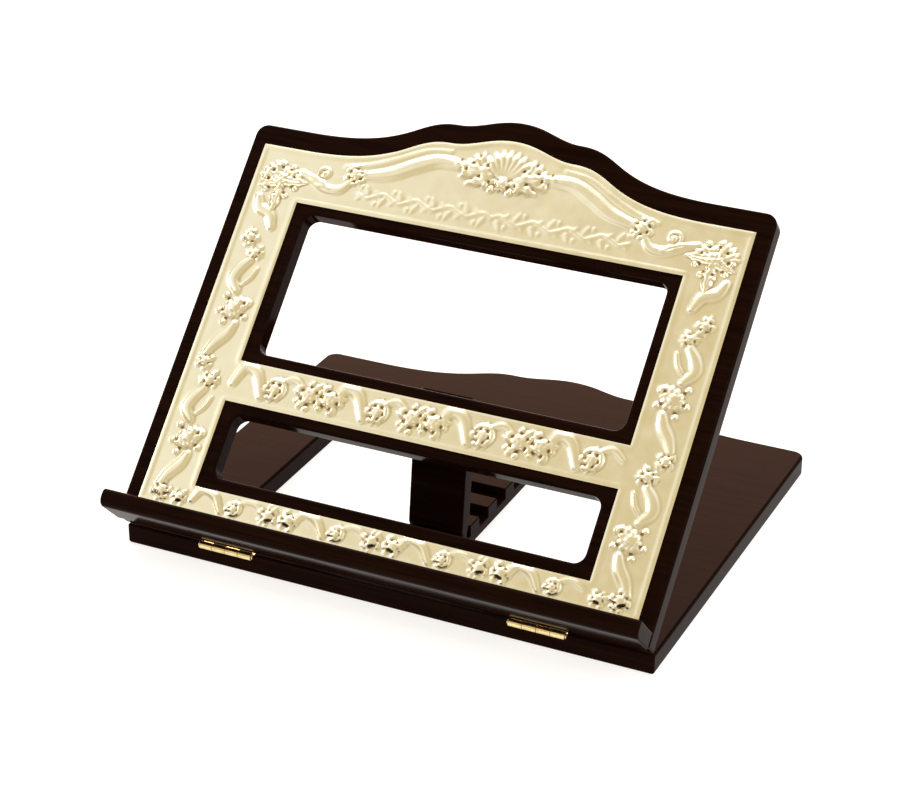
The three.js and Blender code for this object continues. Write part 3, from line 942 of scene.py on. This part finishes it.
def plaque():
    """One embossed sheet on a grid that follows its windows and its arch, closed at the back."""
    pitch = PLAQUE_PITCH
    bands = [
        (PLAQUE_LOW, PLAQUE_LOWER["low"]),
        (PLAQUE_LOWER["low"], PLAQUE_LOWER["high"]),
        (PLAQUE_LOWER["high"], PLAQUE_UPPER["low"]),
        (PLAQUE_UPPER["low"], PLAQUE_UPPER["high"]),
    ]
    counts = [round((high - low) / pitch) for low, high in bands]
    rows = np.concatenate(
        [np.linspace(low, high, count, endpoint=False) for (low, high), count in zip(bands, counts)]
    )
    starts = np.concatenate([[0], np.cumsum(counts)])
    openings = np.interp(
        rows, [PLAQUE_LOWER["high"], PLAQUE_UPPER["low"]], [PLAQUE_LOWER["half"], PLAQUE_UPPER["half"]]
    )
    side_steps = round((PLAQUE_HALF - PLAQUE_LOWER["half"]) / pitch)
    middle_steps = round(2 * PLAQUE_UPPER["half"] / pitch)
    top_x = plaque_columns(PLAQUE_UPPER["half"], side_steps, middle_steps)
    top_rows = round((BOARD_CREST - PLAQUE_INSET - PLAQUE_UPPER["high"]) / pitch * 0.85)
    x = [plaque_columns(half, side_steps, middle_steps) for half in openings]
    y = [np.full(len(top_x), row) for row in rows]
    for share in np.linspace(0, 1, top_rows + 1):
        x.append(top_x)
        y.append(PLAQUE_UPPER["high"] + share * (plaque_top(top_x) - PLAQUE_UPPER["high"]))
    x, y = np.array(x), np.array(y)
    # hollow holds the painted shade for the hollows and pits
    height, hollow = plaque_relief(x, y)
    back_z = BOARD_THICK + TOUCH
    front = np.stack([x, y, back_z + PLAQUE_SHEET + height], 2).reshape(-1, 3)

    last_row, last_column = x.shape[0] - 1, x.shape[1] - 1
    left, right = side_steps, side_steps + middle_steps
    index = np.arange(x.size).reshape(x.shape)
    solid = np.ones((last_row, last_column), bool)
    solid[starts[1]:starts[2], left:right] = False
    solid[starts[3]:starts[4], left:right] = False
    cells = np.stack([index[:-1, :-1], index[:-1, 1:], index[1:, 1:], index[1:, :-1]], 2)
    faces = [tuple(cell) for cell in cells[solid]]

    def loop_round(bottom, top, first, last):
        """The grid's points round a block of cells, counterclockwise."""
        return np.concatenate([
            index[bottom, first:last],
            index[bottom:top, last],
            index[top, last:first:-1],
            index[top:bottom:-1, first],
        ])

    loops = [
        loop_round(0, last_row, 0, last_column),
        loop_round(starts[1], starts[2], left, right)[::-1],
        loop_round(starts[3], starts[4], left, right)[::-1],
    ]
    points = [tuple(p) for p in front]
    back_loops = []
    for loop in loops:
        begin = len(points)
        points.extend((front[i][0], front[i][1], back_z) for i in loop)
        back = range(begin, begin + len(loop))
        back_loops.append(back)
        for i in range(len(loop)):
            j = (i + 1) % len(loop)
            faces.append((loop[j], loop[i], back[i], back[j]))
    order = [i for back in back_loops for i in back]
    flat = tessellate_polygon([[Vector(points[i]) for i in back] for back in back_loops])
    faces.extend(tuple(order[corner] for corner in face[::-1]) for face in flat)
    return sheet_mesh(points, faces, hollow)


# ------------------------------------------------------------------------------- assembly

wood = lacquered_wood()
gilt = gilt_sheet()
beech = dowel_wood()
METALS = {
    "hinge_brass": worked_metal("hinge_brass", (0.95, 0.79, 0.41), (0.80, 0.62, 0.30)),
    "pin_metal": worked_metal("pin_metal", (0.80, 0.68, 0.42), (0.55, 0.42, 0.22)),
    "dark_bronze": worked_metal(
        "dark_bronze", (0.022, 0.015, 0.010), (0.010, 0.007, 0.005),
        dull=0.60, bright=0.45, edge_tint=(0.10, 0.07, 0.05),
    ),
}

place("lacquered_base", base_board(), BASE, wood, "base", ["base_board"])
place("lacquered_rail", notched_rail(), BASE, wood, "base", ["notched_rail"])
place("lacquered_panel", panel_board(), PANEL, wood, "panel", ["panel_board"])
place("lacquered_ledge", book_ledge(), PANEL, wood, "panel", ["book_ledge"])
place("lacquered_leg", prop_leg(), PROP, wood, "prop", ["prop_leg"])
place("embossed_plaque", plaque(), PANEL, gilt, "panel", ["plaque"], sharp=80)

for side_name, hinge_x in FRONT_HINGE_X.items():
    hinge_name = f"front_hinge_{side_name}"
    on_base = HINGE_ON_BASE @ shift(hinge_x, 0, 0)
    on_panel = HINGE_ON_PANEL @ shift(hinge_x, 0, 0)
    add_leaf(hinge_name, FRONT_HINGE, -1, "base", on_base, "base", "hinge_brass")
    add_leaf(hinge_name, FRONT_HINGE, 1, "panel", on_panel, "panel", "hinge_brass")
    add_metal(f"{hinge_name}_pin", hinge_pin(FRONT_HINGE), on_base, "base", "pin_metal")

add_leaf("prop_hinge", PROP_HINGE, 1, "panel", PROP_HINGE_ON_PANEL, "panel", "dark_bronze")
add_leaf("prop_hinge", PROP_HINGE, -1, "leg", PROP_HINGE_ON_LEG, "prop", "dark_bronze")
add_metal("prop_hinge_pin", hinge_pin(PROP_HINGE), PROP_HINGE_ON_PANEL, "panel", "dark_bronze")

for node_name, node in frame["nodes"].items():
    if "dowel" in node_name:
        node.data.materials.clear()
        node.data.materials.append(beech)

# --------------------------------------------------------------------- floor, light, camera


def floor():
    """A plain pale sheet, larger than the view."""
    side = 12
    mesh = bpy.data.meshes.new("floor")
    corners = [(-side, -side), (side, -side), (side, side), (-side, side)]
    mesh.from_pydata([(x, y, -0.0003) for x, y in corners], [], [(0, 1, 2, 3)])
    finish = Finish("pale_floor")
    patches = finish.noise(3, detail=2)
    tone = finish.ramp(patches, [(0.3, (0.44, 0.43, 0.42)), (0.7, (0.46, 0.45, 0.44))])
    finish.link(tone, finish.shader.inputs["Base Color"])
    finish.set(Roughness=0.9, Emission_Color=(1.0, 0.975, 0.955, 1), Emission_Strength=0.82)
    mesh.materials.append(finish.material)
    sheet = bpy.data.objects.new("floor", mesh)
    bpy.context.scene.collection.objects.link(sheet)


def softbox(name, position, target, size, radiance, colour=WHITE):
    """A square area light; its power is worked out from how bright its face is to look."""
    light = bpy.data.lights.new(name, "AREA")
    light.shape = "SQUARE"
    light.size = size
    light.energy = radiance * math.pi * size * size
    light.color = colour
    lamp = bpy.data.objects.new(name, light)
    lamp.location = position
    lamp.rotation_euler = (Vector(target) - Vector(position)).to_track_quat("-Z", "Y").to_euler()
    bpy.context.scene.collection.objects.link(lamp)


def surroundings():
    """A white light tent: warm at the horizon, with one dimmer gap up in front of the stand."""
    world = bpy.data.worlds.new("studio")
    bpy.context.scene.world = world
    world.use_nodes = True
    tree = world.node_tree
    direction = tree.nodes.new("ShaderNodeTexCoord").outputs["Generated"]

    def shaded(axis, stops):
        """Colours by how far a direction lies along an axis."""
        toward = tree.nodes.new("ShaderNodeVectorMath")
        toward.operation = "DOT_PRODUCT"
        toward.inputs[1].default_value = Vector(axis).normalized()
        ramp = tree.nodes.new("ShaderNodeValToRGB")
        ramp.color_ramp.interpolation = "EASE"
        for element, (position, colour) in zip(ramp.color_ramp.elements, stops):
            element.position = position
            element.color = (*colour, 1)
        tree.links.new(direction, toward.inputs[0])
        tree.links.new(toward.outputs["Value"], ramp.inputs["Fac"])
        return ramp.outputs["Color"]

    tent = shaded((0.02, -0.56, 0.83), [(0.865, (1.0, 1.0, 1.0)), (0.93, (0.72, 0.63, 0.45))])
    horizon = shaded((0, 0, 1), [(0.30, (0.62, 0.52, 0.38)), (0.60, (1.0, 1.0, 1.0))])
    both = tree.nodes.new("ShaderNodeVectorMath")
    both.operation = "MULTIPLY"
    tree.links.new(tent, both.inputs[0])
    tree.links.new(horizon, both.inputs[1])
    tree.links.new(both.outputs["Vector"], tree.nodes["Background"].inputs["Color"])
    tree.nodes["Background"].inputs["Strength"].default_value = 1.0


CAMERA_PLACE = (0.68225, -1.47559, 0.91677)
CAMERA_AZIMUTH = 25.23
CAMERA_ELEVATION = 27.07
CAMERA_ROLL = 0.16
CAMERA_LENS = 100
CAMERA_SENSOR = 36


def camera():
    data = bpy.data.cameras.new("camera")
    data.lens = CAMERA_LENS
    data.sensor_width = CAMERA_SENSOR
    azimuth = math.radians(CAMERA_AZIMUTH)
    elevation = math.radians(CAMERA_ELEVATION)
    level = math.cos(elevation)
    back = Vector((math.sin(azimuth) * level, -math.cos(azimuth) * level, math.sin(elevation)))
    aim = (-back).to_track_quat("-Z", "Y").to_matrix().to_4x4()
    view = bpy.data.objects.new("camera", data)
    roll = Matrix.Rotation(math.radians(CAMERA_ROLL), 4, "Z")
    view.matrix_world = Matrix.Translation(CAMERA_PLACE) @ aim @ roll
    bpy.context.scene.collection.objects.link(view)
    bpy.context.scene.camera = view


floor()
surroundings()
STAND_MIDDLE = (0, 0, 0.1)
softbox("top_light", (-1.1, 0.9, 2.4), STAND_MIDDLE, size=2.0, radiance=2.2)
softbox("left_light", (-2.4, -1.0, 1.5), STAND_MIDDLE, size=0.9, radiance=3.5)
softbox("right_light", (2.2, -0.6, 2.0), STAND_MIDDLE, size=1.2, radiance=3.0)
WARM = (1.0, 0.52, 0.34)
# its reflection gives the top of the base its warm brown
softbox("warm_back_light", (-1.0, 2.4, 1.3), (0, 0.1, 0), size=1.8, radiance=4.2, colour=WARM)
camera()
bpy.context.scene.view_settings.view_transform = "Standard"
